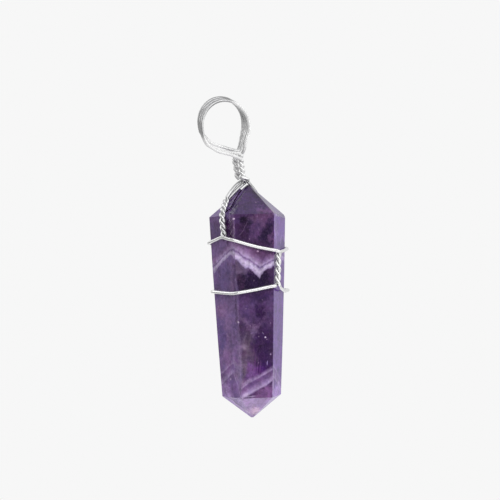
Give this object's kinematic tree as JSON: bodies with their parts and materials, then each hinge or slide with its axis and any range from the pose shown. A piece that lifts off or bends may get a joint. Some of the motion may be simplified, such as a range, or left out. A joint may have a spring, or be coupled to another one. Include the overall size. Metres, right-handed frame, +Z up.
{
  "type": "crystal point pendant",
  "caption": "Faceted double-ended crystal point held upright in a cage of twisted round wire, with a round wire bail for a chain.",
  "frame": {"origin": "where a chain bears, inside the top of the bail's middle turn", "axes": "+Z up along the stone, -Y towards the front, Y along the way that a chain runs through the bail"},
  "size_m": [0.0174, 0.015, 0.0612],
  "materials": {
    "amethyst": "polished",
    "silver_wire": "polished"
  },
  "bodies": {
    "root": {"crystal_point": "amethyst", "cage_wire": "silver_wire", "bail_wire": "silver_wire", "back_wire": "silver_wire"}
  },
  "joints": []
}
